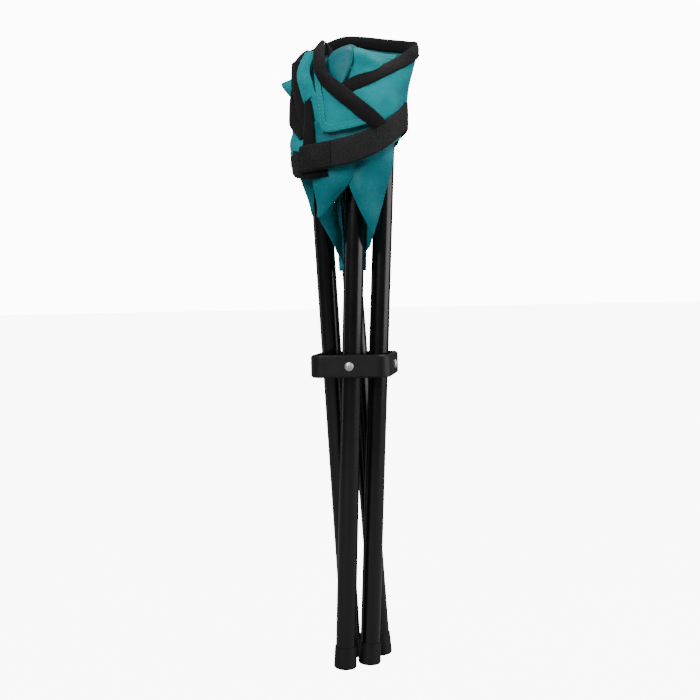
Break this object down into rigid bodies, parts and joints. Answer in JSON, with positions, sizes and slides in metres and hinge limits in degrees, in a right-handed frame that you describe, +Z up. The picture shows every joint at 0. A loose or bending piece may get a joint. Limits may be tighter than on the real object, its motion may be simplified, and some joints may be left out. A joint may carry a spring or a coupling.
{
  "type": "folding camp stool",
  "caption": "Four-legged folding camp stool, shown folded: black tubes that turn in a square plastic hub, teal cloth seat bundled and tied round their tops.",
  "frame": {"origin": "on the ground, on the hub's upright axis", "axes": "+Z up, -Y the front wall of the hub, +X to its right"},
  "size_m": [0.127, 0.1085, 0.6016],
  "materials": {
    "black_enamel": "gloss black enamelled steel tube",
    "moulded_plastic": "satin moulded plastic",
    "rubber_foot": "satin moulded rubber",
    "zinc_steel": "bright zinc plate",
    "woven_cloth": "woven polyester, outer face",
    "coated_cloth": "coated inner face with a soft sheen",
    "binding_tape": "black woven edge tape",
    "strap_webbing": "black webbing, 25 mm",
    "hook_tape": "black hook tape",
    "loop_tape": "black loop tape"
  },
  "bodies": {
    "hub": {"hub_ring": "moulded_plastic", "pivot_screw_front": "zinc_steel", "pivot_screw_right": "zinc_steel", "pivot_screw_rear": "zinc_steel", "pivot_screw_left": "zinc_steel", "pivot_nut_front": "zinc_steel", "pivot_nut_right": "zinc_steel", "pivot_nut_rear": "zinc_steel", "pivot_nut_left": "zinc_steel", "seat_fold_front": "woven_cloth", "seat_fold_right": "woven_cloth", "seat_fold_rear": "woven_cloth", "seat_fold_left": "woven_cloth", "strap_webbing": "strap_webbing", "strap_hook_patch": "hook_tape", "strap_loop_patch": "loop_tape"},
    "leg_front": {"leg_tube_front": "black_enamel", "saddles_front": "moulded_plastic", "foot_cap_front": "rubber_foot", "top_plug_front": "moulded_plastic", "corner_pocket_front": "coated_cloth"},
    "leg_right": {"leg_tube_right": "black_enamel", "saddles_right": "moulded_plastic", "foot_cap_right": "rubber_foot", "top_plug_right": "moulded_plastic", "corner_pocket_right": "coated_cloth"},
    "leg_rear": {"leg_tube_rear": "black_enamel", "saddles_rear": "moulded_plastic", "foot_cap_rear": "rubber_foot", "top_plug_rear": "moulded_plastic", "corner_pocket_rear": "coated_cloth"},
    "leg_left": {"leg_tube_left": "black_enamel", "saddles_left": "moulded_plastic", "foot_cap_left": "rubber_foot", "top_plug_left": "moulded_plastic", "corner_pocket_left": "coated_cloth"},
    "panel_front": {"seat_panel_front": "coated_cloth"},
    "panel_right": {"seat_panel_right": "coated_cloth"},
    "panel_rear": {"seat_panel_rear": "coated_cloth"},
    "panel_left": {"seat_panel_left": "coated_cloth"},
    "hem_front": {"seat_hem_front": "binding_tape"},
    "hem_right": {"seat_hem_right": "binding_tape"},
    "hem_rear": {"seat_hem_rear": "binding_tape"},
    "hem_left": {"seat_hem_left": "binding_tape"}
  },
  "joints": [
    {"name": "leg_front_fold", "type": "hinge", "parent": "hub", "child": "leg_front", "pos_m": [0, -0.0225, 0.29162], "axis": [0, 1, 0], "range_deg": [0, 40.5], "deforming": ["seat_fold_front", "seat_fold_right", "seat_fold_rear", "seat_fold_left", "seat_panel_front", "seat_panel_right", "seat_panel_rear", "seat_panel_left", "seat_hem_front", "seat_hem_right", "seat_hem_rear", "seat_hem_left", "corner_pocket_front", "corner_pocket_right", "corner_pocket_rear", "corner_pocket_left", "strap_webbing", "strap_hook_patch", "strap_loop_patch"]},
    {"name": "leg_right_fold", "type": "hinge", "parent": "hub", "child": "leg_right", "pos_m": [0.0225, 0, 0.29162], "axis": [-1, 0, 0], "range_deg": [0, 41.5]},
    {"name": "leg_rear_fold", "type": "hinge", "parent": "hub", "child": "leg_rear", "pos_m": [0, 0.0225, 0.29162], "axis": [0, -1, 0], "range_deg": [0, 39.8]},
    {"name": "leg_left_fold", "type": "hinge", "parent": "hub", "child": "leg_left", "pos_m": [-0.0225, 0, 0.29162], "axis": [1, 0, 0], "range_deg": [0, 40.4]},
    {"name": "panel_front_turn", "type": "hinge", "parent": "leg_front", "child": "panel_front", "pos_m": [0.01256, -0.0107, 0.57934], "axis": [0, 1, 0], "range_deg": [0, 42.05]},
    {"name": "panel_right_turn", "type": "hinge", "parent": "leg_right", "child": "panel_right", "pos_m": [0.02428, 0.00754, 0.57976], "axis": [-1, 0, 0], "range_deg": [0, 42]},
    {"name": "panel_rear_turn", "type": "hinge", "parent": "leg_rear", "child": "panel_rear", "pos_m": [-0.01608, 0.0107, 0.57917], "axis": [0, -1, 0], "range_deg": [0, 42.05]},
    {"name": "panel_left_turn", "type": "hinge", "parent": "leg_left", "child": "panel_left", "pos_m": [-0.02125, -0.01307, 0.57956], "axis": [1, 0, 0], "range_deg": [0, 42]},
    {"name": "hem_front_spread", "type": "slide", "parent": "panel_front", "child": "hem_front", "axis": [-0.0698, 0.9887, 0.1323], "range_m": [0, 0.19081]},
    {"name": "hem_right_spread", "type": "slide", "parent": "panel_right", "child": "hem_right", "axis": [-0.9948, -0.0794, 0.0636], "range_m": [0, 0.18944]},
    {"name": "hem_rear_spread", "type": "slide", "parent": "panel_rear", "child": "hem_rear", "axis": [0.0705, -0.9905, 0.1183], "range_m": [0, 0.19046]},
    {"name": "hem_left_spread", "type": "slide", "parent": "panel_left", "child": "hem_left", "axis": [0.9948, 0.0782, 0.0651], "range_m": [0, 0.18944]}
  ],
  "couplings": [
    {"joint": "leg_right_fold", "follows": "leg_front_fold", "ratio": 1.0247},
    {"joint": "leg_rear_fold", "follows": "leg_front_fold", "ratio": 0.98271},
    {"joint": "leg_left_fold", "follows": "leg_front_fold", "ratio": 0.99753},
    {"joint": "panel_front_turn", "follows": "leg_front_fold", "ratio": 1.0383},
    {"joint": "panel_right_turn", "follows": "leg_front_fold", "ratio": 1.037},
    {"joint": "panel_rear_turn", "follows": "leg_front_fold", "ratio": 1.0383},
    {"joint": "panel_left_turn", "follows": "leg_front_fold", "ratio": 1.037},
    {"joint": "hem_front_spread", "follows": "leg_front_fold", "m_per_rad": 0.26994},
    {"joint": "hem_right_spread", "follows": "leg_front_fold", "m_per_rad": 0.268},
    {"joint": "hem_rear_spread", "follows": "leg_front_fold", "m_per_rad": 0.26944},
    {"joint": "hem_left_spread", "follows": "leg_front_fold", "m_per_rad": 0.268}
  ]
}
